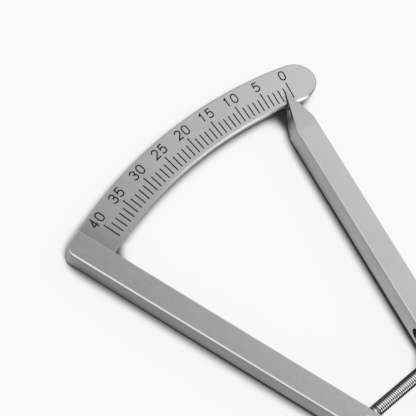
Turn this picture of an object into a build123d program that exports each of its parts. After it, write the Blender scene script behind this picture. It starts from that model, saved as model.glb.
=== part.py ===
from build123d import *
import os
from math import asin, atan, atan2, cos, degrees, hypot, radians, sin, sqrt, tan

# Surgical caliper with a curved scale. All sizes in millimetres and degrees.
# Frame: the pivot axis is the Z axis, the arms' underside is z = 0, and +Y points from the
# pivot to the scale. The fixed arm lies on the -X side and the moving arm on the +X side.
# Each arm is drawn in a frame of its own, with its handle's inner face along +Y, and is
# then turned about the pivot to the spread that the reading at rest asks for.

# Lever and reading
SCALE_RANGE = 40
READING_AT_REST = 0.9
TIP_LENGTH = 76.0
TIP_GAP_WHEN_SHUT = 0.06
HANDLE_ANGLE_AT_FULL_READING = 0.5

# Arms
ARM_WIDTH = 4.85
ARM_THICKNESS = 5.2
ARM_GAP = 0.3
OUTER_CHAMFER = 0.24
INNER_CHAMFER = 0.2
END_CHAMFER = 0.15
FIXED_ARM_SETBACK = 0.15
FIXED_ARM_END_SLOPE = 0.8
END_OUTER_RADIUS = 2.0
END_INNER_RADIUS = 0.5

# Legs from the pivot to the measuring points
LEG_ROOT_WIDTH = 4.5
LEG_MIDDLE_WIDTH = 2.7
LEG_MIDDLE_THICKNESS = 3.4
LEG_MIDDLE_AT = 52.0
POINT_LENGTH = 9.0
POINT_ROOT_WIDTH = 1.5
POINT_ROOT_THICKNESS = 1.7
POINT_INNER_CHAMFER = 0.15
POINT_OUTER_CHAMFER = 0.35
POINT_END_SIZE = 0.35
POINT_END_CHAMFER = 0.07

# Pointer and its fork round the scale
POINTER_OVERLAP = 2.85
POINTER_INNER_TAPER = 8.6
POINTER_OUTER_TAPER = 7.5
POINTER_NECK_LENGTH = 2.7
POINTER_NECK_WIDTH = 0.7
POINTER_TIP_ACROSS = 3.1
POINTER_THINNING_LENGTH = 9.0
POINTER_TIP_THICKNESS = 0.15
POINTER_TIP_WIDTH = 0.12
FORK_CLEARANCE = 0.14
FORK_DEPTH = 2.5

# Scale plate
SCALE_INNER_RADIUS = 89.35
SCALE_WIDTH = 8.2
SCALE_THICKNESS = 2.0
SCALE_END_LENGTH = 6.65
SCALE_CAP_LENGTH = 5.0
SCALE_EDGE_CHAMFER = 0.38
TANG_DEPTH = 3.2
TANG_CLEARANCE = 0.02
TICK_START = 1.03
MINOR_TICK_LENGTH = 2.7
MAJOR_TICK_LENGTH = 3.65
TICK_WIDTH = 0.26
ENGRAVING_DEPTH = 0.14
LABEL_STEP = 5
DIGIT_HEIGHT = 2.15
DIGIT_WIDTH = 1.45
DIGIT_PITCH = 1.85
DIGIT_STROKE = 0.27
DIGIT_GAP = 0.5

# Dowels that hold the scale plate in the fixed arm
DOWEL_RADIUS = 0.6
DOWEL_COVER = 0.7
DOWEL_SPACING = 2.9

# Pivot joint
PIVOT_WASHER_THICKNESS = 0.2
PIVOT_WASHER_INSET = 0.45
PIVOT_FACE_CLEARANCE = 0.02
PIVOT_SIDE_CLEARANCE = 0.25
PIVOT_SHANK_RADIUS = 1.25
PIVOT_HEAD_RADIUS = 2.6
PIVOT_HEAD_RIM = 0.12
RUNNING_CLEARANCE = 0.04
SEATED_CLEARANCE = 0.02

# Threaded rod with its eye, and the pin it swings on
ROD_EYE_AT = 33.3
ROD_EYE_INSET = 1.85
ROD_EYE_RADIUS = 1.5
ROD_EYE_HEIGHT = 2.5
ROD_PIN_RADIUS = 0.6
ROD_CLEARANCE = 0.15
ROD_NECK_RADIUS = 1.05
ROD_NECK_END = 2.4
ROD_COLLAR_LENGTH = 0.45
THREAD_RADIUS = 1.3
THREAD_PITCH = 0.45
THREAD_DEPTH = 0.2
THREAD_CREST = 0.045
ROD_END_RADIUS = 1.6
ROD_END_LENGTH = 0.8
ROD_END_CHAMFER = 0.32
ROD_SPARE_LENGTH = 1.4

# Window in the moving arm that the rod passes through
WINDOW_SIDE_CLEARANCE = 0.25
WINDOW_RESERVE = 3.8

# Saddle washer between the thumb nut and the moving arm
SADDLE_RADIUS = 3.8
SADDLE_CENTRE_OUT = 2.8
SADDLE_THICKNESS = 1.6
SADDLE_HEIGHT = 4.0
SADDLE_CLEARANCE = 0.14

# Thumb nut
NUT_RADIUS = 4.2
NUT_LENGTH = 4.0
NUT_EDGE_CHAMFER = 0.45
NUT_HUB_RADIUS = 2.5
NUT_HUB_LENGTH = 1.2
KNURL_COUNT = 44
KNURL_DEPTH = 0.22
KNURL_CREST = 0.25
KNURL_VALLEY_AT = 0.62
NUT_BORE_CLEARANCE = 0.05
NUT_FACE_CLEARANCE = 0.03

# Leaf spring and its screw
LEAF_THICKNESS = 0.3
LEAF_HEIGHT = 2.8
LEAF_TAB_END = 28.4
LEAF_BEND_START = 23.5
LEAF_REACH = 10.0
LEAF_CURL_RADIUS = 0.4
LEAF_CONTACT_GAP = 0.05
LEAF_SCREW_AT = 26.2
RECESS_DEPTH = 0.75
RECESS_SIDE_CLEARANCE = 0.25
RECESS_START = 5.8
SPRING_SCREW_RADIUS = 0.6
SPRING_SCREW_HEAD_RADIUS = 1.1
SPRING_SCREW_HEAD_HEIGHT = 0.4
SPRING_SCREW_LENGTH = 2.4
SCREW_SLOT_WIDTH = 0.5
SCREW_SLOT_DEPTH_SHARE = 0.5

# How far cutters reach past the faces they open, and how finely edges are told apart
CUTTER_MARGIN = 1.0
EDGE_TOLERANCE = 0.01

# Worked out from the sizes above
half_gap = ARM_GAP / 2
outer_face = half_gap + ARM_WIDTH
disc_radius = outer_face
scale_outer_radius = SCALE_INNER_RADIUS + SCALE_WIDTH
fixed_arm_length = scale_outer_radius - FIXED_ARM_SETBACK
pointer_length = SCALE_INNER_RADIUS + POINTER_OVERLAP
arm_reach = max(fixed_arm_length, pointer_length) + ARM_WIDTH
mid_height = ARM_THICKNESS / 2
disc_gap = PIVOT_WASHER_THICKNESS + 2 * PIVOT_FACE_CLEARANCE
disc_thickness = (ARM_THICKNESS - disc_gap) / 2
upper_disc_bottom = ARM_THICKNESS - disc_thickness
scale_bottom = mid_height - SCALE_THICKNESS / 2
scale_top = mid_height + SCALE_THICKNESS / 2
LEFT, RIGHT = -1, 1


def lever_angle(reading):
    """Angle that the moving arm turns between reading 0 and this reading."""
    return degrees(2 * asin(reading / 2 / TIP_LENGTH))


spread_when_shut = lever_angle(SCALE_RANGE) + HANDLE_ANGLE_AT_FULL_READING
rest_spread = spread_when_shut - lever_angle(READING_AT_REST)
leg_lean = spread_when_shut / 2


def at_rest(shape, side):
    """Turn a shape from its arm's own frame to the pose at rest."""
    return Rot(0, 0, -side * rest_spread / 2) * shape


def upright(radius, x, y, bottom, top):
    """Upright cylinder between two heights."""
    height = top - bottom
    return Pos(x, y, bottom + height / 2) * Cylinder(radius, height)


def block(x_range, y_range, z_range):
    """Box between two values on each axis."""
    size = [abs(high - low) for low, high in (x_range, y_range, z_range)]
    middle = [(high + low) / 2 for low, high in (x_range, y_range, z_range)]
    return Pos(*middle) * Box(*size)


def bar_section(inner, outer, bottom, top, inner_cut, outer_cut, y):
    """Cross-section of an arm at one y: a rectangle with its four corners cut off."""
    way = 1 if outer > inner else -1
    points = [
        (inner + way * inner_cut, y, bottom),
        (outer - way * outer_cut, y, bottom),
        (outer, y, bottom + outer_cut),
        (outer, y, top - outer_cut),
        (outer - way * outer_cut, y, top),
        (inner + way * inner_cut, y, top),
        (inner, y, top - inner_cut),
        (inner, y, bottom + inner_cut),
    ]
    return make_face(Polyline(*points, close=True))


# Where the saddle washer turns, so that the rod turns by half of what the moving arm turns:
# the pivot, the rod's eye and this centre form a triangle with two equal sides.
eye_across = half_gap + ROD_EYE_INSET
eye_distance = hypot(eye_across, ROD_EYE_AT)
saddle_across = outer_face + SADDLE_CENTRE_OUT
saddle_along = sqrt(eye_distance**2 - saddle_across**2)
apex_when_parallel = degrees(atan(eye_across / ROD_EYE_AT) + atan(saddle_across / saddle_along))


def eye_to_saddle(spread):
    """Length along the rod from the eye's centre to the saddle's centre."""
    return 2 * eye_distance * sin(radians(apex_when_parallel + spread) / 2)


def rod_slope(side, spread):
    """Angle of the rod from an arm's own X axis when the handles stand at this spread."""
    near = (eye_across, ROD_EYE_AT) if side == LEFT else (saddle_across, saddle_along)
    base_angle = 90 - (apex_when_parallel + spread) / 2
    return side * (degrees(atan2(near[1], near[0])) - base_angle)


def handle(side, plan):
    """Handle of one arm: its chamfered bar, kept inside a plan outline."""
    section = bar_section(
        side * half_gap, side * outer_face, 0, ARM_THICKNESS, INNER_CHAMFER, OUTER_CHAMFER, 0
    )
    return extrude(section, arm_reach, dir=(0, 1, 0)) & plan


def fixed_handle_plan():
    """Space of the fixed arm's handle, with rounded corners and a slightly sloping end."""
    width = outer_face - half_gap
    outline = Pos(-half_gap - width / 2, fixed_arm_length / 2) * Rectangle(width, fixed_arm_length)
    corners = outline.vertices().sort_by(Axis.Y)[-2:].sort_by(Axis.X)
    outline = fillet(corners[0], END_OUTER_RADIUS)
    corners = outline.vertices().filter_by(lambda v: v.X > -half_gap - EDGE_TOLERANCE).sort_by(Axis.Y)
    outline = fillet(corners[-1], END_INNER_RADIUS)
    body = extrude(outline, ARM_THICKNESS)
    faces = body.faces().sort_by(Axis.Z)
    edges = faces[0].edges() + faces[-1].edges()
    end_edges = [edge for edge in edges if edge.center().Y > fixed_arm_length - END_OUTER_RADIUS]
    body = chamfer(end_edges, END_CHAMFER)
    slope = Polyline(
        (fixed_arm_length - FIXED_ARM_END_SLOPE, 0),
        (fixed_arm_length, ARM_THICKNESS),
        (arm_reach, ARM_THICKNESS),
        (arm_reach, 0),
        close=True,
    )
    return body - extrude(Plane.YZ * make_face(slope), 2 * outer_face, both=True)


def pointer_plan():
    """Space of the moving arm's handle, drawn out to a fine pointer."""
    tip_inner = (POINTER_TIP_ACROSS - POINTER_TIP_WIDTH / 2, pointer_length)
    tip_outer = (POINTER_TIP_ACROSS + POINTER_TIP_WIDTH / 2, pointer_length)
    outer_start = (outer_face, pointer_length - POINTER_OUTER_TAPER)
    neck = (POINTER_TIP_ACROSS + POINTER_NECK_WIDTH, pointer_length - POINTER_NECK_LENGTH)
    inner_start = (half_gap, pointer_length - POINTER_INNER_TAPER)
    outline = [
        Line((half_gap, 0), (outer_face, 0)),
        Line((outer_face, 0), outer_start),
        Line(outer_start, neck),
        Line(neck, tip_outer),
        Line(tip_outer, tip_inner),
        Line(tip_inner, inner_start),
        Line(inner_start, (half_gap, 0)),
    ]
    return extrude(make_face(outline), ARM_THICKNESS)


def leg(side):
    """Leg from the pivot to the measuring point, tapering in width and thickness."""
    inner = side * TIP_GAP_WHEN_SHUT / 2
    stations = [
        (0, LEG_ROOT_WIDTH, ARM_THICKNESS, INNER_CHAMFER, OUTER_CHAMFER),
        (LEG_MIDDLE_AT, LEG_MIDDLE_WIDTH, LEG_MIDDLE_THICKNESS, INNER_CHAMFER, OUTER_CHAMFER),
        (
            TIP_LENGTH - POINT_LENGTH,
            POINT_ROOT_WIDTH,
            POINT_ROOT_THICKNESS,
            POINT_INNER_CHAMFER,
            POINT_OUTER_CHAMFER,
        ),
        (TIP_LENGTH, POINT_END_SIZE, POINT_END_SIZE, POINT_END_CHAMFER, POINT_END_CHAMFER),
    ]
    sections = [
        bar_section(
            inner,
            inner + side * width,
            mid_height - thickness / 2,
            mid_height + thickness / 2,
            inner_cut,
            outer_cut,
            -along,
        )
        for along, width, thickness, inner_cut, outer_cut in stations
    ]
    return Rot(0, 0, side * leg_lean) * loft(sections, ruled=True)


def fixed_arm():
    """Fixed arm: handle, leg and the lower disc of the pivot joint."""
    arm = handle(LEFT, fixed_handle_plan()) + leg(LEFT)
    arm += upright(disc_radius, 0, 0, 0, disc_thickness)
    arm -= upright(disc_radius + PIVOT_SIDE_CLEARANCE, 0, 0, disc_thickness, ARM_THICKNESS)
    arm -= upright(PIVOT_SHANK_RADIUS + SEATED_CLEARANCE, 0, 0, 0, disc_thickness)
    arm -= scale_slot()
    arm -= dowels(SEATED_CLEARANCE)
    arm -= rod_pocket()
    arm -= upright(ROD_PIN_RADIUS + SEATED_CLEARANCE, -eye_across, ROD_EYE_AT, 0, ARM_THICKNESS)
    arm -= spring_recess()
    arm -= spring_screw_shank(SEATED_CLEARANCE)
    return arm


def moving_arm():
    """Moving arm: pointer, leg and the upper disc of the pivot joint."""
    arm = handle(RIGHT, pointer_plan()) + leg(RIGHT)
    arm += upright(disc_radius, 0, 0, upper_disc_bottom, ARM_THICKNESS)
    arm -= upright(disc_radius + PIVOT_SIDE_CLEARANCE, 0, 0, 0, upper_disc_bottom)
    arm -= pivot_screw_body(RUNNING_CLEARANCE)
    arm -= pointer_fork()
    arm -= pointer_thinning()
    arm -= rod_window()
    arm -= upright(SADDLE_RADIUS + SADDLE_CLEARANCE, saddle_across, saddle_along, 0, ARM_THICKNESS)
    return arm


def scale_slot():
    """Slot in the fixed arm that the scale plate's tang sits in, open at the arm's end."""
    depth = half_gap + TANG_DEPTH + TANG_CLEARANCE
    slot = block(
        (-depth, 0),
        (0, arm_reach),
        (scale_bottom - TANG_CLEARANCE, scale_top + TANG_CLEARANCE),
    )
    return slot - upright(SCALE_INNER_RADIUS - TANG_CLEARANCE, 0, 0, 0, ARM_THICKNESS)


def rod_pocket():
    """Pocket for the rod's eye, with a flared mouth that the rod swings in."""
    height = 2 * THREAD_RADIUS + 2 * ROD_CLEARANCE
    bottom = mid_height - height / 2
    pocket = upright(ROD_EYE_RADIUS + ROD_CLEARANCE, 0, 0, bottom, bottom + height)
    half_width = THREAD_RADIUS + ROD_CLEARANCE
    reach = ROD_EYE_INSET + 3 * THREAD_RADIUS
    first = rod_slope(LEFT, spread_when_shut)
    last = rod_slope(LEFT, HANDLE_ANGLE_AT_FULL_READING)
    for slope in (first, (first + last) / 2, last):
        mouth = block((0, reach), (-half_width, half_width), (bottom, bottom + height))
        pocket += Rot(0, 0, slope) * mouth
    return Pos(-eye_across, ROD_EYE_AT, 0) * pocket


def rod_window():
    """Long window through the moving arm, with round ends, for the rod's swing."""
    radius = THREAD_RADIUS + ROD_CLEARANCE
    ends = []
    for spread in (spread_when_shut, HANDLE_ANGLE_AT_FULL_READING):
        slope = radians(rod_slope(RIGHT, spread))
        half_width = THREAD_RADIUS / cos(slope) + WINDOW_SIDE_CLEARANCE
        for across in (half_gap, outer_face):
            centre = saddle_along - (saddle_across - across) * tan(slope)
            ends += [centre - half_width, centre + half_width]
    low = min(ends)
    high = max(ends) + WINDOW_RESERVE
    length = high - low
    tool = extrude(Plane.YZ * SlotOverall(length, 2 * radius), 2 * outer_face, both=True)
    return Pos(outer_face / 2, (low + high) / 2, mid_height) * tool


def pointer_thinning():
    """Wedges above and below that thin the pointer towards the scale plate."""
    start = pointer_length - POINTER_THINNING_LENGTH
    half_tip = (scale_top - scale_bottom) / 2 + FORK_CLEARANCE + POINTER_TIP_THICKNESS
    wedges = []
    for side, face in ((1, ARM_THICKNESS), (-1, 0)):
        corners = [
            (start, face),
            (pointer_length, mid_height + side * half_tip),
            (arm_reach, mid_height + side * half_tip),
            (arm_reach, face + side * ARM_THICKNESS),
            (start, face + side * ARM_THICKNESS),
        ]
        outline = make_face(Polyline(*corners, close=True))
        wedges.append(extrude(Plane.YZ * outline, 2 * outer_face, both=True))
    return wedges


def pointer_fork():
    """Slit in the pointer that lets it straddle the scale plate."""
    slit = block(
        (0, outer_face + CUTTER_MARGIN),
        (0, arm_reach),
        (scale_bottom - FORK_CLEARANCE, scale_top + FORK_CLEARANCE),
    )
    return slit - upright(SCALE_INNER_RADIUS - FORK_DEPTH, 0, 0, 0, ARM_THICKNESS)


def pointer_angle(reading):
    """Angle of the pointer's tip from the fixed arm's own Y axis, clockwise."""
    tip_lead = degrees(atan(POINTER_TIP_ACROSS / pointer_length))
    return spread_when_shut - lever_angle(reading) + tip_lead


def on_circle(radius, angle):
    """Point at this radius and this clockwise angle from the Y axis."""
    return (radius * sin(radians(angle)), radius * cos(radians(angle)))


def scale_blank():
    """Curved plate with a tang at one end and a round free end."""
    tang_end = -half_gap - TANG_DEPTH
    outer_start = (tang_end, sqrt(scale_outer_radius**2 - tang_end**2))
    inner_start = (tang_end, sqrt(SCALE_INNER_RADIUS**2 - tang_end**2))
    middle_radius = (SCALE_INNER_RADIUS + scale_outer_radius) / 2
    last_angle = pointer_angle(0) + degrees((SCALE_END_LENGTH - SCALE_CAP_LENGTH) / middle_radius)
    outer_end = on_circle(scale_outer_radius, last_angle)
    inner_end = on_circle(SCALE_INNER_RADIUS, last_angle)
    cap = EllipticalCenterArc(
        on_circle(middle_radius, last_angle),
        SCALE_CAP_LENGTH,
        SCALE_WIDTH / 2,
        start_angle=-90,
        arc_size=180,
        rotation=-last_angle,
    )
    outline = [
        ThreePointArc(outer_start, on_circle(scale_outer_radius, last_angle / 2), outer_end),
        cap,
        ThreePointArc(inner_end, on_circle(SCALE_INNER_RADIUS, last_angle / 2), inner_start),
        Line(inner_start, outer_start),
    ]
    plate = Pos(0, 0, scale_bottom) * extrude(make_face(outline), SCALE_THICKNESS)
    faces = plate.faces().sort_by(Axis.Z)
    rims = faces[0].edges() + faces[-1].edges()
    edges = [edge for edge in rims if edge.center().X > tang_end + EDGE_TOLERANCE]
    plate = chamfer(edges, SCALE_EDGE_CHAMFER)
    beyond_arm_end = block(
        (tang_end - ARM_WIDTH, -half_gap), (fixed_arm_length, arm_reach), (0, ARM_THICKNESS)
    )
    return plate - beyond_arm_end


def digit_wires(digit):
    """Strokes of a digit, centred on the origin, as a list of chains of edges."""
    w = (DIGIT_WIDTH - DIGIT_STROKE) / 2
    h = (DIGIT_HEIGHT - DIGIT_STROKE) / 2
    if digit == "0":
        low, high = w - h, h - w
        return [
            [
                Line((-w, low), (-w, high)),
                ThreePointArc((-w, high), (0, h), (w, high)),
                Line((w, high), (w, low)),
                ThreePointArc((w, low), (0, -h), (-w, low)),
            ]
        ]
    if digit == "1":
        return [[Line((-0.6 * w, 0.55 * h), (0.1 * w, h)), Line((0.1 * w, h), (0.1 * w, -h))]]
    if digit == "2":
        turn = (0.72 * w, 0.05 * h)
        return [
            [
                ThreePointArc((-w, 0.5 * h), (0, h), (w, 0.45 * h)),
                ThreePointArc((w, 0.45 * h), (0.95 * w, 0.22 * h), turn),
                Line(turn, (-w, -h)),
                Line((-w, -h), (w, -h)),
            ]
        ]
    if digit == "3":
        return [
            [
                ThreePointArc((-w, 0.62 * h), (0.1 * w, h), (0.85 * w, 0.5 * h)),
                ThreePointArc((0.85 * w, 0.5 * h), (0.6 * w, 0.14 * h), (-0.2 * w, 0.05 * h)),
            ],
            [
                ThreePointArc((-0.2 * w, 0.05 * h), (w, -0.45 * h), (0, -h)),
                ThreePointArc((0, -h), (-0.6 * w, -0.9 * h), (-w, -0.6 * h)),
            ],
        ]
    if digit == "4":
        return [
            [Line((0.45 * w, -h), (0.45 * w, h)), Line((0.45 * w, h), (-w, -0.4 * h))],
            [Line((-w, -0.4 * h), (w, -0.4 * h))],
        ]
    return [
        [
            Line((0.85 * w, h), (-0.7 * w, h)),
            Line((-0.7 * w, h), (-0.8 * w, 0.1 * h)),
            ThreePointArc((-0.8 * w, 0.1 * h), (w, -0.38 * h), (-0.1 * w, -h)),
            ThreePointArc((-0.1 * w, -h), (-0.6 * w, -0.92 * h), (-w, -0.7 * h)),
        ]
    ]


def engraved_label(number, radius, angle):
    """Cutters for a plain number, upright along the radius, at this place on the scale."""
    text = str(number)
    cutters = []
    for place, digit in enumerate(text):
        across = (place - (len(text) - 1) / 2) * DIGIT_PITCH
        for chain in digit_wires(digit):
            strokes = extrude(trace(chain, line_width=DIGIT_STROKE), 2 * ENGRAVING_DEPTH, both=True)
            strokes = Pos(across, radius, scale_top + ENGRAVING_DEPTH) * strokes
            cutters.append(Rot(0, 0, -angle) * strokes)
    return cutters


def scale_plate():
    """Scale plate with its engraved graduations and numbers."""
    start = SCALE_INNER_RADIUS + TICK_START
    depths = (scale_top - ENGRAVING_DEPTH, scale_top + CUTTER_MARGIN)
    cutters = []
    for reading in range(SCALE_RANGE + 1):
        labelled = reading % LABEL_STEP == 0
        length = MAJOR_TICK_LENGTH if labelled else MINOR_TICK_LENGTH
        tick = block((-TICK_WIDTH / 2, TICK_WIDTH / 2), (start, start + length), depths)
        cutters.append(Rot(0, 0, -pointer_angle(reading)) * tick)
        if labelled:
            radius = start + MAJOR_TICK_LENGTH + DIGIT_GAP + DIGIT_HEIGHT / 2
            cutters += engraved_label(reading, radius, pointer_angle(reading))
    plate = scale_blank()
    plate -= dowels(SEATED_CLEARANCE)
    return plate - cutters


def dowels(clearance=0):
    """Two dowels from the underside through the tang, hidden from above."""
    radius = DOWEL_RADIUS + clearance
    across = -half_gap - TANG_DEPTH / 2
    middle = (SCALE_INNER_RADIUS + scale_outer_radius) / 2
    top = ARM_THICKNESS - DOWEL_COVER
    return [
        upright(radius, across, middle + step * DOWEL_SPACING / 2, 0, top) for step in (-1, 1)
    ]


def pivot_screw_body(clearance=0):
    """Countersunk pivot screw without its slot, grown by a clearance where it runs."""
    head = PIVOT_HEAD_RADIUS + clearance
    shank = PIVOT_SHANK_RADIUS + clearance
    rim = ARM_THICKNESS - PIVOT_HEAD_RIM
    cone_bottom = rim - (PIVOT_HEAD_RADIUS - PIVOT_SHANK_RADIUS) - clearance
    profile = Polyline(
        (0, 0),
        (shank, 0),
        (shank, cone_bottom),
        (head, rim),
        (head, ARM_THICKNESS),
        (0, ARM_THICKNESS),
        close=True,
    )
    return revolve(Plane.XZ * make_face(profile), Axis.Z)


def pivot_screw():
    """Pivot screw: its head sits flush in the upper disc and its end flush with the underside."""
    head_depth = PIVOT_HEAD_RADIUS - PIVOT_SHANK_RADIUS + PIVOT_HEAD_RIM
    slot_floor = ARM_THICKNESS - head_depth * SCREW_SLOT_DEPTH_SHARE
    slot = block(
        (-PIVOT_HEAD_RADIUS, PIVOT_HEAD_RADIUS),
        (-SCREW_SLOT_WIDTH / 2, SCREW_SLOT_WIDTH / 2),
        (slot_floor, ARM_THICKNESS + CUTTER_MARGIN),
    )
    return pivot_screw_body() - slot


def pivot_washer():
    """Thin washer between the two discs of the joint."""
    bottom = disc_thickness + PIVOT_FACE_CLEARANCE
    top = bottom + PIVOT_WASHER_THICKNESS
    ring = upright(disc_radius - PIVOT_WASHER_INSET, 0, 0, bottom, top)
    return ring - upright(PIVOT_SHANK_RADIUS + RUNNING_CLEARANCE, 0, 0, bottom, top)


# Lengths along the rod from the eye's centre, with the caliper at rest
saddle_centre = eye_to_saddle(rest_spread)
saddle_front = saddle_centre - SADDLE_RADIUS + SADDLE_THICKNESS
nut_start = saddle_front + NUT_FACE_CLEARANCE
nut_travel_outwards = eye_to_saddle(spread_when_shut) - saddle_centre
nut_end = nut_start + NUT_HUB_LENGTH + NUT_LENGTH
rod_length = nut_end + nut_travel_outwards + ROD_SPARE_LENGTH + ROD_END_LENGTH


def on_rod(shape):
    """Place a shape drawn along +X from the eye's centre onto the rod at rest."""
    placed = Pos(-eye_across, ROD_EYE_AT, mid_height) * Rot(0, 0, rod_slope(LEFT, rest_spread)) * shape
    return at_rest(placed, LEFT)


def turned(profile):
    """Body turned about the rod's axis from points of (length along the rod, radius)."""
    return revolve(make_face(Polyline(*profile, close=True)), Axis.X)


def threaded_rod():
    """Rod with an eye, a neck, a collar, a run of thread grooves and a spread end."""
    thread_start = ROD_NECK_END + ROD_COLLAR_LENGTH
    thread_end = rod_length - ROD_END_LENGTH
    grooves = int((thread_end - thread_start) / THREAD_PITCH)
    root = THREAD_RADIUS - THREAD_DEPTH
    profile = [(0, 0), (0, ROD_NECK_RADIUS), (ROD_NECK_END, ROD_NECK_RADIUS)]
    profile += [(ROD_NECK_END, THREAD_RADIUS), (thread_start, THREAD_RADIUS)]
    flank = (THREAD_PITCH - THREAD_CREST) / 2
    for groove in range(grooves):
        here = thread_start + groove * THREAD_PITCH
        profile += [(here + flank, root), (here + 2 * flank, THREAD_RADIUS)]
        profile += [(here + THREAD_PITCH, THREAD_RADIUS)]
    edge = ROD_END_CHAMFER
    profile += [(thread_end, THREAD_RADIUS), (thread_end, ROD_END_RADIUS)]
    profile += [(rod_length - edge, ROD_END_RADIUS), (rod_length, ROD_END_RADIUS - edge)]
    profile += [(rod_length, 0)]
    rod = turned(profile)
    rod += Cylinder(ROD_EYE_RADIUS, ROD_EYE_HEIGHT)
    rod -= Cylinder(ROD_PIN_RADIUS + RUNNING_CLEARANCE, 2 * ARM_THICKNESS)
    return on_rod(rod)


def rod_pin():
    """Pin through the fixed arm that the rod's eye swings on, flush above and below."""
    return at_rest(upright(ROD_PIN_RADIUS, -eye_across, ROD_EYE_AT, 0, ARM_THICKNESS), LEFT)


def saddle_washer():
    """Washer with a round back that rocks in the moving arm's groove and a flat front."""
    back = Pos(saddle_centre, 0, 0) * Cylinder(SADDLE_RADIUS, SADDLE_HEIGHT)
    rear = saddle_centre - SADDLE_RADIUS
    half = SADDLE_HEIGHT / 2
    kept = block((rear, saddle_front), (-SADDLE_RADIUS, SADDLE_RADIUS), (-half, half))
    bore = THREAD_RADIUS + NUT_BORE_CLEARANCE
    hole = turned([(rear, 0), (rear, bore), (saddle_front, bore), (saddle_front, 0)])
    return on_rod((back & kept) - hole)


def thumb_nut():
    """Knurled nut with a plain hub towards the saddle washer."""
    wheel_start = nut_start + NUT_HUB_LENGTH
    bore = THREAD_RADIUS + NUT_BORE_CLEARANCE
    cut = NUT_EDGE_CHAMFER
    envelope = turned(
        [
            (nut_start, bore),
            (nut_start, NUT_HUB_RADIUS),
            (wheel_start, NUT_HUB_RADIUS),
            (wheel_start, NUT_RADIUS - cut),
            (wheel_start + cut, NUT_RADIUS),
            (nut_end - cut, NUT_RADIUS),
            (nut_end, NUT_RADIUS - cut),
            (nut_end, bore),
        ]
    )
    valley = NUT_RADIUS - KNURL_DEPTH
    outline = []
    for tooth in range(KNURL_COUNT):
        for step, radius in ((0, NUT_RADIUS), (KNURL_CREST, NUT_RADIUS), (KNURL_VALLEY_AT, valley)):
            angle = radians(360 * (tooth + step) / KNURL_COUNT)
            outline.append((radius * cos(angle), radius * sin(angle)))
    toothed = make_face(Polyline(*outline, close=True))
    knurl = extrude(Plane.YZ.offset(nut_start) * toothed, nut_end - nut_start)
    return on_rod(envelope & knurl)


# The leaf spring's bend, in the fixed arm's own frame: an arc from the tab that brings the
# curl at its end against the moving arm's inner face.
recess_floor = -half_gap - RECESS_DEPTH
leaf_front = recess_floor + LEAF_THICKNESS
contact_angle = radians(rest_spread)
curl_inset = half_gap - LEAF_CONTACT_GAP - LEAF_CURL_RADIUS
curl_x = curl_inset * cos(contact_angle) + LEAF_REACH * sin(contact_angle)
curl_y = -curl_inset * sin(contact_angle) + LEAF_REACH * cos(contact_angle)
leaf_middle = leaf_front - LEAF_THICKNESS / 2
bend_angle = 2 * atan2(curl_x - leaf_middle, LEAF_BEND_START - curl_y)
bend_radius = (LEAF_BEND_START - curl_y) / sin(bend_angle)


def spring_recess():
    """Shallow recess in the fixed arm's inner face that the leaf folds into."""
    half = LEAF_HEIGHT / 2 + RECESS_SIDE_CLEARANCE
    top = LEAF_TAB_END + RECESS_SIDE_CLEARANCE
    return block((recess_floor, 0), (RECESS_START, top), (mid_height - half, mid_height + half))


def leaf_spring():
    """Leaf with a flat tab, a long bend and a curled end."""
    bottom = mid_height - LEAF_HEIGHT / 2
    top = mid_height + LEAF_HEIGHT / 2
    leaf = block((recess_floor, leaf_front), (LEAF_BEND_START, LEAF_TAB_END), (bottom, top))
    half = LEAF_THICKNESS / 2

    def on_bend(offset, angle):
        radius = bend_radius - offset
        return (leaf_middle + bend_radius - radius * cos(angle), LEAF_BEND_START - radius * sin(angle))

    outline = [
        ThreePointArc(on_bend(-half, 0), on_bend(-half, bend_angle / 2), on_bend(-half, bend_angle)),
        Line(on_bend(-half, bend_angle), on_bend(half, bend_angle)),
        ThreePointArc(on_bend(half, bend_angle), on_bend(half, bend_angle / 2), on_bend(half, 0)),
        Line(on_bend(half, 0), on_bend(-half, 0)),
    ]
    leaf += Pos(0, 0, bottom) * extrude(make_face(outline), LEAF_HEIGHT)
    leaf += upright(LEAF_CURL_RADIUS, curl_x, curl_y, bottom, top)
    hole = Cylinder(SPRING_SCREW_RADIUS + RUNNING_CLEARANCE, ARM_WIDTH, rotation=(0, 90, 0))
    leaf -= Pos(leaf_middle, LEAF_SCREW_AT, mid_height) * hole
    return at_rest(leaf, LEFT)


def spring_screw_shank(clearance=0):
    """Shank of the spring's screw, in the fixed arm's own frame."""
    length = SPRING_SCREW_LENGTH + LEAF_THICKNESS
    shank = Cylinder(SPRING_SCREW_RADIUS + clearance, length, rotation=(0, 90, 0))
    return Pos(leaf_front - length / 2, LEAF_SCREW_AT, mid_height) * shank


def spring_screw():
    """Low screw that holds the leaf spring in its recess."""
    head = Cylinder(SPRING_SCREW_HEAD_RADIUS, SPRING_SCREW_HEAD_HEIGHT, rotation=(0, 90, 0))
    screw = spring_screw_shank()
    screw += Pos(leaf_front + SPRING_SCREW_HEAD_HEIGHT / 2, LEAF_SCREW_AT, mid_height) * head
    slot_floor = leaf_front + SPRING_SCREW_HEAD_HEIGHT * (1 - SCREW_SLOT_DEPTH_SHARE)
    half = SCREW_SLOT_WIDTH / 2
    reach = SPRING_SCREW_HEAD_RADIUS + CUTTER_MARGIN
    screw -= block(
        (slot_floor, slot_floor + CUTTER_MARGIN),
        (LEAF_SCREW_AT - half, LEAF_SCREW_AT + half),
        (mid_height - reach, mid_height + reach),
    )
    return at_rest(screw, LEFT)


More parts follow.
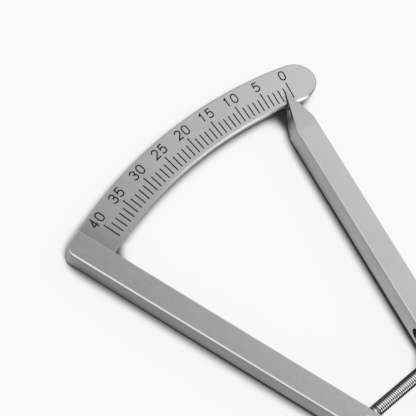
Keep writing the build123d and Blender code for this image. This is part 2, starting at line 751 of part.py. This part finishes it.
PIECES = {
    "fixed_arm": lambda: at_rest(fixed_arm(), LEFT),
    "moving_arm": lambda: at_rest(moving_arm(), RIGHT),
    "scale_plate": lambda: at_rest(scale_plate(), LEFT),
    "scale_dowels": lambda: at_rest(Compound(children=dowels()), LEFT),
    "pivot_screw": pivot_screw,
    "pivot_washer": pivot_washer,
    "threaded_rod": threaded_rod,
    "rod_pin": rod_pin,
    "saddle_washer": saddle_washer,
    "thumb_nut": thumb_nut,
    "leaf_spring": leaf_spring,
    "spring_screw": spring_screw,
}

os.makedirs("parts", exist_ok=True)
for name, make in PIECES.items():
    export_step(make(), f"parts/{name}.step")

turn = lever_angle(SCALE_RANGE) - lever_angle(READING_AT_REST)
travel = eye_to_saddle(HANDLE_ANGLE_AT_FULL_READING) - saddle_centre
print("arm turn from rest to full reading (degrees):", round(turn, 4))
print("arm turn from rest to reading 0 (degrees):", round(-lever_angle(READING_AT_REST), 4))
print("saddle travel to full reading (mm):", round(travel, 4))
print("saddle travel per radian (mm):", round(travel / radians(turn), 4))
print("rest spread:", round(rest_spread, 4), "rod slope:", round(rod_slope(LEFT, rest_spread), 4))
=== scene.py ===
import math

import bmesh
import bpy
from mathutils import Matrix, Vector


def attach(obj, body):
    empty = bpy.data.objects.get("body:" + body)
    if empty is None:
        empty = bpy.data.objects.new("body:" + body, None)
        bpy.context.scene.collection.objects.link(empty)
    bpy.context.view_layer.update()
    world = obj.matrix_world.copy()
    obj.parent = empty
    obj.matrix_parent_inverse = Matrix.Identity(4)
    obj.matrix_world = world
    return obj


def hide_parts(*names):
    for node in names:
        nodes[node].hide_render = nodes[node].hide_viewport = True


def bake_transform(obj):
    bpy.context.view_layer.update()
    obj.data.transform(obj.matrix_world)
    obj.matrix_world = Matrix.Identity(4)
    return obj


# Surgical caliper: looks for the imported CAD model. Sizes are in millimetres, as in the CAD
# source, and MM turns them into Blender's metres.
MM = 0.001

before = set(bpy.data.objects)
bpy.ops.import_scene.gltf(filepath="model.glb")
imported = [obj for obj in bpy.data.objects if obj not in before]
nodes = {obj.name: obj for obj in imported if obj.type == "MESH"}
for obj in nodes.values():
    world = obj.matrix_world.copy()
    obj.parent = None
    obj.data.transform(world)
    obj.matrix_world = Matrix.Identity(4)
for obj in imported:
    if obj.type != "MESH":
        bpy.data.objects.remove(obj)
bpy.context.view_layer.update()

# Sizes shared with the CAD source
REST_SPREAD = math.radians(30.3365)
ARM_HEIGHT = 5.2
MID_HEIGHT = ARM_HEIGHT / 2
SCALE_TOP = 3.6
ENGRAVING_DEPTH = 0.14

# Rod: where its eye is at rest, which way it points, and its shape
ROD_EYE = (-10.6434, 31.6166)
ROD_TURN = math.radians(-5.0423)
ROD_LENGTH = 32.353
ROD_EYE_RADIUS = 1.5
ROD_EYE_HEIGHT = 2.5
ROD_EYE_HOLE = 0.64
ROD_EYE_SOFTENING = 0.15
ROD_NECK_RADIUS = 1.05
ROD_NECK_START = 1.04
ROD_NECK_END = 2.4
ROD_COLLAR_END = 2.85
ROD_CORE_RADIUS = 0.3
ROD_SOFTENING = 0.06
THREAD_RADIUS = 1.3
THREAD_PITCH = 0.45
THREAD_DEPTH = 0.2
ROD_END_RADIUS = 1.6
ROD_END_LENGTH = 0.8

# The rod's peened end: for each ring, how far it lies from the tip and how far inside the rim
PEENED_RINGS = ((0.34, 0.0), (0.2, 0.08), (0.09, 0.22), (0.0, 0.42))

# One turn of the thread: the share of the pitch at which each corner lies, and its height, from
# the groove's floor at 0 to the crest at 1
THREAD_CORNERS = ((0.0, 1.0), (0.62, 1.0), (0.75, 0.0), (0.87, 0.0))

# Leaf spring, in the fixed arm's own frame
LEAF_MIDDLE = -0.75
LEAF_THICKNESS = 0.3
LEAF_HEIGHT = 2.8
LEAF_SOFTENING = 0.08
LEAF_TAB_END = 28.4
LEAF_BEND_START = 23.5
LEAF_BEND_ANGLE = math.radians(41.27)
LEAF_BEND_RADIUS = 22.31
LEAF_BEND_STEPS = 36
LEAF_CURL_RADIUS = 0.4
LEAF_CURL_ANGLE = math.radians(290)
LEAF_CURL_STEPS = 22

# Steel: its ground lines, speckle and stains, and the painted shade that gathers in its corners
LINE_STRETCH = (9.0, 0.5, 9.0)
LINE_DARK = 0.86
LINE_LIGHT = 1.14
SPECKLE_SCALE = 4.5
SPECKLE_HEIGHT = 0.02
STAIN_SCALE = 0.09
STAIN_SHARE = 0.1
STAIN_TONE = 0.7
CORNER_SHADE_REACH = 0.8
CORNER_SHADE_SHARE = 0.85
CORNER_SHADE_TONE = 0.02
PAINT_TONE = 0.03
PAINT_ROUGHNESS = 0.4

# Painted shade on the scale plate beside the fixed arm, over this width
ARM_SHADE_WIDTH = 6.0
ARM_SHADE_SHARE = 0.33
ARM_SHADE_TONE = 0.3

# Painted shade on walls, a little lighter at the foot than at the rim
WALL_FOOT = 1.25
WALL_RIM = 0.78

# Edges that turn by more than this stay crisp
CRISP_ANGLE = math.radians(20)

# Floor: the caliper rests on its nut and on the far ends of its arms
FLOOR_HALF_WIDTH = 3000
FLOOR_AT_ARM_ENDS = -0.04
ARM_ENDS_AT = 97.4
FLOOR_TILT = math.radians(1.45)
PAPER_TONE = 0.9

# Painted contact shadow on the floor: how far it reaches, and how open a spot is where it is
# black and where it ends
CONTACT_REACH = 4.5
CONTACT_BLACK = 0.46
CONTACT_END = 0.77
FLOOR_WHITE = 0.99

# Around the caliper a share of the lamps' light shows on the floor, and none of it far away. The
# stretch below 1 makes that area longer along Y, as the caliper is
GLOW_NEAR = 0.88
GLOW_NEAR_RADIUS = 90
GLOW_FAR_RADIUS = 300
GLOW_STRETCH = 0.55

# Studio: pale walls to the left and the right, and a darker band overhead between them, which
# narrows towards the front and the back
SKY_AROUND = 1.4
SKY_OVERHEAD = 0.43
SKY_BAND_START = 0.39
SKY_BAND_END = 0.69
SKY_NARROWING = 0.3

# Camera: the place and the aim of the photograph, and its lens
CAMERA_PLACE = (-120.443, 45.801, 264.337)
CAMERA_AIM = (-2.556, 81.123, 2.6)
CAMERA_UP = (0.60744, 0.70369, 0.36856)
SENSOR_WIDTH = 36.0
FOCAL_LENGTH = 129.8


class Nodes:
    """Short way to build a node tree: add a node with its values and links in one call."""

    def __init__(self, tree):
        self.tree = tree
        tree.nodes.clear()

    def join(self, value, socket):
        if isinstance(value, bpy.types.NodeSocket):
            self.tree.links.new(value, socket)
        else:
            socket.default_value = value

    def add(self, kind, inputs=None, **settings):
        node = self.tree.nodes.new(kind)
        for key, value in settings.items():
            setattr(node, key, value)
        for key, value in (inputs or {}).items():
            self.join(value, node.inputs[key])
        return node

    def math(self, operation, *values, clamp=False):
        inputs = dict(enumerate(values))
        return self.add("ShaderNodeMath", inputs, operation=operation, use_clamp=clamp).outputs[0]

    def remap(self, value, low, high, new_low, new_high, smooth=False):
        inputs = {
            "Value": value,
            "From Min": low,
            "From Max": high,
            "To Min": new_low,
            "To Max": new_high,
        }
        kind = "SMOOTHSTEP" if smooth else "LINEAR"
        node = self.add("ShaderNodeMapRange", inputs, clamp=True, interpolation_type=kind)
        return node.outputs["Result"]

    def mix_colour(self, factor, first, second):
        node = self.add("ShaderNodeMix", data_type="RGBA")
        colours = [socket for socket in node.inputs if socket.type == "RGBA"]
        self.join(factor, node.inputs[0])
        self.join(first, colours[0])
        self.join(second, colours[1])
        return next(socket for socket in node.outputs if socket.type == "RGBA")

    def noise(self, vector, scale, detail, roughness):
        inputs = {"Vector": vector, "Scale": scale, "Detail": detail, "Roughness": roughness}
        return self.add("ShaderNodeTexNoise", inputs).outputs["Fac"]

    def openness(self, reach, samples):
        """How much of the surroundings a spot sees, from 0 in a closed corner to 1."""
        node = self.add("ShaderNodeAmbientOcclusion", {"Distance": reach * MM}, samples=samples)
        return node.outputs["AO"]


def grey(level):
    """A neutral steel colour, a touch cool."""
    return (level, level, level * 1.01, 1.0)


def engraving(n, height, sloping):
    """Where the dark paint lies: the floors and walls of the engraving, but not the bevels."""
    inside = n.remap(
        height, SCALE_TOP - ENGRAVING_DEPTH * 0.75, SCALE_TOP - ENGRAVING_DEPTH * 0.1, 1.0, 0.0
    )
    upper = n.math("GREATER_THAN", height, SCALE_TOP - ENGRAVING_DEPTH * 1.3)
    flat = n.math("SUBTRACT", 1.0, sloping)
    return n.math("MULTIPLY", inside, n.math("MULTIPLY", upper, flat))


def steel(name, level, roughness, turn=0.0, grain=0.13, painted_wall_tone=1.0, edges=None, engraved=False):
    """Ground steel: grain along the part's own Y axis, faint stains and painted shade in its corners.

    The tone is level; walls keep their given share of it under painted shade, and bevels, where a
    share is given, take it as a painted highlight above 1 and as painted shade below 1.
    """
    material = bpy.data.materials.new(name)
    material.use_nodes = True
    n = Nodes(material.node_tree)
    place = n.add("ShaderNodeTexCoord").outputs["Object"]
    in_mm = {"Vector": place, "Rotation": (0, 0, turn), "Scale": (1 / MM, 1 / MM, 1 / MM)}
    own = n.add("ShaderNodeMapping", in_mm).outputs["Vector"]
    stretched = n.add("ShaderNodeMapping", {"Vector": own, "Scale": LINE_STRETCH}).outputs["Vector"]
    lines = n.noise(stretched, 1.0, detail=2.0, roughness=0.5)
    speckle = n.noise(own, SPECKLE_SCALE, detail=2.0, roughness=0.6)
    stains = n.noise(own, STAIN_SCALE, detail=3.0, roughness=0.55)

    tone = n.math("ADD", n.remap(lines, 0.25, 0.75, -0.5, 0.5), n.remap(speckle, 0.3, 0.7, -0.5, 0.5))
    tone = n.remap(n.math("MULTIPLY", tone, grain), -0.5, 0.5, 0.0, 1.0)
    light = n.mix_colour(tone, grey(level * LINE_DARK), grey(min(1.0, level * LINE_LIGHT)))
    stained = n.remap(stains, 0.35, 0.65, 0.0, STAIN_SHARE)
    light = n.mix_colour(stained, light, grey(level * STAIN_TONE))
    rough = n.math(
        "ADD",
        n.remap(lines, 0.3, 0.7, roughness - 0.04, roughness + 0.04),
        n.remap(stains, 0.3, 0.7, -0.03, 0.04),
    )
    bump = {"Height": speckle, "Strength": 0.1, "Distance": SPECKLE_HEIGHT * MM}
    normal = n.add("ShaderNodeBump", bump).outputs["Normal"]

    facing = n.add("ShaderNodeNewGeometry").outputs["True Normal"]
    facing = n.add("ShaderNodeSeparateXYZ", {"Vector": facing}).outputs["Z"]
    sloping = n.math("COMPARE", facing, math.sqrt(0.5), 0.25)
    across, _, height = n.add("ShaderNodeSeparateXYZ", {"Vector": own}).outputs
    if engraved:
        # Painted shade on the plate beside the fixed arm
        arm_shade = n.remap(across, 0.0, ARM_SHADE_WIDTH, ARM_SHADE_SHARE, 0.0, smooth=True)
        light = n.mix_colour(arm_shade, light, grey(level * ARM_SHADE_TONE))
        paint = engraving(n, height, sloping)
        light = n.mix_colour(paint, light, grey(PAINT_TONE))
        rough = n.math("ADD", rough, n.math("MULTIPLY", paint, PAINT_ROUGHNESS))
    # Painted shade on walls, lighter at the foot than at the rim
    wall_darkness = n.remap(height, 0.0, ARM_HEIGHT, min(1.0, painted_wall_tone * WALL_FOOT), painted_wall_tone * WALL_RIM)
    wall_darkness = n.math("SUBTRACT", 1.0, wall_darkness)
    painted_wall_shade = n.remap(n.math("ABSOLUTE", facing), 0.78, 0.98, wall_darkness, 0.0)
    light = n.mix_colour(painted_wall_shade, light, grey(0.0))
    # Painted highlight on bevels where their share is above 1, painted shade where it is below 1
    if edges:
        light = n.mix_colour(sloping, light, grey(level * edges))
    # Painted shade: spots that see little of their surroundings darken towards near black
    corner = n.remap(n.openness(CORNER_SHADE_REACH, samples=8), 0.3, 0.7, CORNER_SHADE_SHARE, 0.0)
    light = n.mix_colour(corner, light, grey(CORNER_SHADE_TONE))

    surface = {"Base Color": light, "Roughness": rough, "Normal": normal, "Metallic": 1.0}
    shader = n.add("ShaderNodeBsdfPrincipled", surface)
    n.add("ShaderNodeOutputMaterial", {"Surface": shader.outputs["BSDF"]})
    return material


LEFT_TURN = -REST_SPREAD / 2
RIGHT_TURN = REST_SPREAD / 2
# Both arms are one steel: the copies' tones, painted wall shade and painted bevel highlight differ
satin_left = steel("satin_steel_left", 0.5, 0.3, turn=LEFT_TURN, painted_wall_tone=0.48, edges=1.15)
satin_right = steel("satin_steel_right", 0.475, 0.3, turn=RIGHT_TURN, painted_wall_tone=0.82, edges=1.05)
scale_steel = steel(
    "scale_steel", 0.49, 0.3, turn=LEFT_TURN, painted_wall_tone=0.5, edges=0.85, engraved=True
)
# Painted shade on the walls of the small bright parts
bright = steel("bright_steel", 0.75, 0.17, grain=0.1, painted_wall_tone=0.75)
# The thread: its pale steel where it faces up is a painted highlight, its near-black flanks and sides
# painted shade
thread_steel = steel("thread_steel", 0.99, 0.14, grain=0.06, painted_wall_tone=0.12)
spring = steel("spring_steel", 0.5, 0.26, turn=LEFT_TURN)
FINISHES = {
    "fixed_arm": satin_left,
    "moving_arm": satin_right,
    "scale_plate": scale_steel,
    "scale_dowels": bright,
    "pivot_screw": bright,
    "pivot_washer": bright,
    "rod_pin": bright,
    "saddle_washer": bright,
    "thumb_nut": bright,
    "spring_screw": bright,
}
for node_name, finish in FINISHES.items():
    node_mesh = nodes[node_name].data
    node_mesh.materials.clear()
    node_mesh.materials.append(finish)


def piece(name, mesh_data, material, body, node):
    """Put a mesh in the scene in place of a CAD node."""
    mesh = bpy.data.meshes.new(name)
    mesh_data.to_mesh(mesh)
    mesh_data.free()
    mesh.materials.append(material)
    for face in mesh.polygons:
        face.use_smooth = True
    mesh.set_sharp_from_angle(angle=CRISP_ANGLE)
    thing = bpy.data.objects.new(name, mesh)
    bpy.context.scene.collection.objects.link(thing)
    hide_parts(node)
    if body:
        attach(thing, body)
    return thing


def skin(bm, rows, closed):
    """Quads between neighbouring rows of points, each row a closed loop or an open line."""
    for here, after in zip(rows, rows[1:]):
        for k in range(len(here) if closed else len(here) - 1):
            beside = (k + 1) % len(here)
            bm.faces.new((here[k], here[beside], after[beside], after[k]))


def lathe(bm, profile, steps=48):
    """Closed body turned about the X axis from points of (length, radius)."""
    rings = []
    for along, radius in profile:
        ring = []
        for step in range(steps):
            angle = 2 * math.pi * step / steps
            ring.append(bm.verts.new((along, radius * math.cos(angle), radius * math.sin(angle))))
        rings.append(ring)
    skin(bm, rings, closed=True)
    bm.faces.new(rings[0])
    bm.faces.new(list(reversed(rings[-1])))


def eye_ring(bm, steps=64):
    """Ring with a hole along Z, its outer edges softened."""
    half = ROD_EYE_HEIGHT / 2
    soft = ROD_EYE_SOFTENING
    profile = [
        (ROD_EYE_HOLE, -half),
        (ROD_EYE_RADIUS - soft, -half),
        (ROD_EYE_RADIUS, -half + soft),
        (ROD_EYE_RADIUS, half - soft),
        (ROD_EYE_RADIUS - soft, half),
        (ROD_EYE_HOLE, half),
    ]
    rows = []
    for step in range(steps):
        angle = 2 * math.pi * step / steps
        rows.append([bm.verts.new((r * math.cos(angle), r * math.sin(angle), z)) for r, z in profile])
    skin(bm, rows + rows[:1], closed=True)


def helix(bm, start, end, steps=36):
    """Screw thread about the X axis whose grooves run out at both ends."""
    root = THREAD_RADIUS - THREAD_DEPTH
    run_out = 0.5 * THREAD_PITCH
    count = int((end - start) / THREAD_PITCH * steps)
    rows = []
    for step in range(count + steps):
        angle = 2 * math.pi * step / steps
        row = []
        for phase, share in THREAD_CORNERS:
            along = start + THREAD_PITCH * (step / steps + phase - 1)
            edge = min(along - start, end - along)
            fade = min(1.0, max(0.0, edge / run_out))
            radius = root + THREAD_DEPTH * share * fade
            along = min(max(along, start - run_out), end + run_out)
            row.append(bm.verts.new((along, radius * math.cos(angle), radius * math.sin(angle))))
        rows.append(row)
    skin(bm, rows, closed=False)
    # The last flank joins each row to the one that lies a whole turn further on
    for step in range(count - 1):
        here, after = rows[step], rows[step + 1]
        beyond, beyond_after = rows[step + steps], rows[step + 1 + steps]
        bm.faces.new((here[-1], beyond[0], beyond_after[0], after[-1]))


def make_rod():
    """Rod with its eye, neck, collar, helical thread and peened end."""
    bm = bmesh.new()
    neck_and_collar = [
        (ROD_NECK_START, ROD_NECK_RADIUS),
        (ROD_NECK_END, ROD_NECK_RADIUS),
        (ROD_NECK_END, THREAD_RADIUS - ROD_SOFTENING),
        (ROD_NECK_END + ROD_SOFTENING, THREAD_RADIUS),
        (ROD_COLLAR_END - ROD_SOFTENING, THREAD_RADIUS),
        (ROD_COLLAR_END, THREAD_RADIUS - ROD_SOFTENING),
        (ROD_COLLAR_END, ROD_CORE_RADIUS),
    ]
    lathe(bm, neck_and_collar)
    end_start = ROD_LENGTH - ROD_END_LENGTH
    peened_end = [
        (end_start, ROD_CORE_RADIUS),
        (end_start, ROD_END_RADIUS - ROD_SOFTENING),
        (end_start + ROD_SOFTENING, ROD_END_RADIUS),
    ]
    for back, inside in PEENED_RINGS:
        peened_end.append((ROD_LENGTH - back, ROD_END_RADIUS - inside))
    peened_end.append((ROD_LENGTH, ROD_CORE_RADIUS))
    lathe(bm, peened_end)
    eye_ring(bm)
    helix(bm, ROD_COLLAR_END, end_start)
    place = (
        Matrix.Scale(MM, 4)
        @ Matrix.Translation((*ROD_EYE, MID_HEIGHT))
        @ Matrix.Rotation(ROD_TURN, 4, "Z")
    )
    bmesh.ops.transform(bm, matrix=place, verts=bm.verts)
    bmesh.ops.recalc_face_normals(bm, faces=bm.faces)
    return bm


def leaf_line():
    """Middle line of the leaf spring as (point, direction), from its tab to its curled end."""
    straight = -math.pi / 2
    tab_middle = (LEAF_TAB_END + LEAF_BEND_START) / 2
    line = [((LEAF_MIDDLE, LEAF_TAB_END), straight), ((LEAF_MIDDLE, tab_middle), straight)]
    for step in range(LEAF_BEND_STEPS + 1):
        angle = LEAF_BEND_ANGLE * step / LEAF_BEND_STEPS
        x = LEAF_MIDDLE + LEAF_BEND_RADIUS - LEAF_BEND_RADIUS * math.cos(angle)
        y = LEAF_BEND_START - LEAF_BEND_RADIUS * math.sin(angle)
        line.append(((x, y), angle + straight))
    (x, y), heading = line[-1]
    turn = LEAF_CURL_ANGLE / LEAF_CURL_STEPS
    run = turn * (LEAF_CURL_RADIUS - LEAF_THICKNESS / 2)
    for _ in range(LEAF_CURL_STEPS):
        heading += turn
        x += run * math.cos(heading)
        y += run * math.sin(heading)
        line.append(((x, y), heading))
    return line


def make_leaf():
    """Leaf spring: a thin band with rounded long edges, bent and curled at its end."""
    bm = bmesh.new()
    half = LEAF_THICKNESS / 2
    low = MID_HEIGHT - LEAF_HEIGHT / 2
    high = MID_HEIGHT + LEAF_HEIGHT / 2
    soft = LEAF_SOFTENING
    outline = [
        (-half, low + soft),
        (-half + soft, low),
        (half - soft, low),
        (half, low + soft),
        (half, high - soft),
        (half - soft, high),
        (-half + soft, high),
        (-half, high - soft),
    ]
    rows = []
    for (x, y), heading in leaf_line():
        aside_x, aside_y = -math.sin(heading), math.cos(heading)
        rows.append([bm.verts.new((x + aside_x * s, y + aside_y * s, z)) for s, z in outline])
    skin(bm, rows, closed=True)
    bm.faces.new(rows[0])
    bm.faces.new(list(reversed(rows[-1])))
    place = Matrix.Scale(MM, 4) @ Matrix.Rotation(REST_SPREAD / 2, 4, "Z")
    bmesh.ops.transform(bm, matrix=place, verts=bm.verts)
    bmesh.ops.recalc_face_normals(bm, faces=bm.faces)
    return bm


piece("rod", make_rod(), thread_steel, "rod", "threaded_rod")
leaf = piece("leaf", make_leaf(), spring, None, "leaf_spring")
curl_place = leaf_line()[-1 - LEAF_CURL_STEPS // 2][0]
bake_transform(leaf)


def softbox(name, place, aim, size, radiance):
    """Rectangular lamp at a place, facing an aim point."""
    lamp = bpy.data.lights.new(name, "AREA")
    lamp.shape = "RECTANGLE"
    lamp.size = size[0] * MM
    lamp.size_y = size[1] * MM
    lamp.energy = radiance * math.pi * lamp.size * lamp.size_y
    holder = bpy.data.objects.new(name, lamp)
    bpy.context.scene.collection.objects.link(holder)
    holder.location = Vector(place) * MM
    way = Vector(place) - Vector(aim)
    holder.rotation_mode = "QUATERNION"
    holder.rotation_quaternion = way.to_track_quat("Z", "Y")


softbox("overhead_softbox", place=(315, 70, 300), aim=(315, 70, 0), size=(410, 360), radiance=0.52)
softbox("key_softbox", place=(420, -120, 330), aim=(0, 70, 0), size=(420, 330), radiance=0.5)
softbox("front_softbox", place=(115, -430, 160), aim=(20, 90, 0), size=(270, 190), radiance=2.9)


def studio():
    """Surroundings that the steel mirrors; the camera sees them plain white."""
    world = bpy.data.worlds.new("studio")
    bpy.context.scene.world = world
    world.use_nodes = True
    n = Nodes(world.node_tree)
    direction = n.add("ShaderNodeTexCoord").outputs["Generated"]
    along_x, along_y, _ = n.add("ShaderNodeSeparateXYZ", {"Vector": direction}).outputs
    narrowing = n.math("MULTIPLY", n.math("ABSOLUTE", along_y), SKY_NARROWING)
    lean = n.math("SUBTRACT", n.math("ABSOLUTE", along_x), narrowing)
    sky = n.remap(lean, SKY_BAND_START, SKY_BAND_END, SKY_OVERHEAD, SKY_AROUND, smooth=True)
    seen = n.add("ShaderNodeLightPath").outputs["Is Camera Ray"]
    strength = n.add("ShaderNodeMix", {0: seen, "A": sky, "B": 1.0}, data_type="FLOAT").outputs[0]
    background = n.add("ShaderNodeBackground", {"Color": (1, 1, 1, 1), "Strength": strength})
    n.add("ShaderNodeOutputWorld", {"Surface": background.outputs[0]})


def paper():
    """White paper: it glows for what looks at it, apart from a painted shadow where the caliper lies.
    """
    material = bpy.data.materials.new("floor_paper")
    material.use_nodes = True
    n = Nodes(material.node_tree)
    sheet = n.add("ShaderNodeBsdfDiffuse", {"Color": (PAPER_TONE, PAPER_TONE, PAPER_TONE, 1)})
    # Painted contact shadow: the floor's glow dims where little of the surroundings is open
    openness = n.openness(CONTACT_REACH, samples=32)
    white = n.remap(openness, CONTACT_BLACK, CONTACT_END, 0.0, FLOOR_WHITE, smooth=True)
    glow = n.add("ShaderNodeEmission", {"Color": (1, 1, 1, 1), "Strength": white})
    place = n.add("ShaderNodeTexCoord").outputs["Object"]
    flattened = {"Vector": place, "Scale": (1, GLOW_STRETCH, 0)}
    near = n.add("ShaderNodeMapping", flattened).outputs["Vector"]
    distance = n.add("ShaderNodeVectorMath", {0: near}, operation="LENGTH").outputs["Value"]
    far = n.remap(
        distance, GLOW_NEAR_RADIUS * MM, GLOW_FAR_RADIUS * MM, GLOW_NEAR, 1.0, smooth=True
    )
    path = n.add("ShaderNodeLightPath")
    seen = n.math("ADD", path.outputs["Is Camera Ray"], path.outputs["Is Glossy Ray"])
    seen = n.math("ADD", seen, path.outputs["Is Transmission Ray"], clamp=True)
    share = n.math("MULTIPLY", seen, far)
    both = n.add("ShaderNodeMixShader", {0: share, 1: sheet.outputs[0], 2: glow.outputs[0]})
    n.add("ShaderNodeOutputMaterial", {"Surface": both.outputs[0]})
    return material


def floor():
    """Plain white floor, large enough to fill every view's lower part."""
    mesh = bpy.data.meshes.new("floor")
    corners = []
    for x, y in ((-1, -1), (1, -1), (1, 1), (-1, 1)):
        x *= FLOOR_HALF_WIDTH
        y *= FLOOR_HALF_WIDTH
        height = FLOOR_AT_ARM_ENDS - (ARM_ENDS_AT - y) * math.tan(FLOOR_TILT)
        corners.append((x * MM, y * MM, height * MM))
    mesh.from_pydata(corners, [], [(0, 1, 2, 3)])
    mesh.materials.append(paper())
    plane = bpy.data.objects.new("floor", mesh)
    bpy.context.scene.collection.objects.link(plane)


def camera():
    """The photograph's own viewpoint."""
    lens = bpy.data.cameras.new("camera")
    lens.sensor_width = SENSOR_WIDTH
    lens.lens = FOCAL_LENGTH
    lens.clip_start = 0.01
    lens.clip_end = 20
    holder = bpy.data.objects.new("camera", lens)
    bpy.context.scene.collection.objects.link(holder)
    ahead = (Vector(CAMERA_AIM) - Vector(CAMERA_PLACE)).normalized()
    right = ahead.cross(Vector(CAMERA_UP)).normalized()
    up = right.cross(ahead)
    turn = Matrix((right, up, -ahead)).transposed().to_4x4()
    holder.matrix_world = Matrix.Translation(Vector(CAMERA_PLACE) * MM) @ turn
    bpy.context.scene.camera = holder


studio()
floor()
camera()

bpy.context.scene.view_settings.view_transform = "Standard"
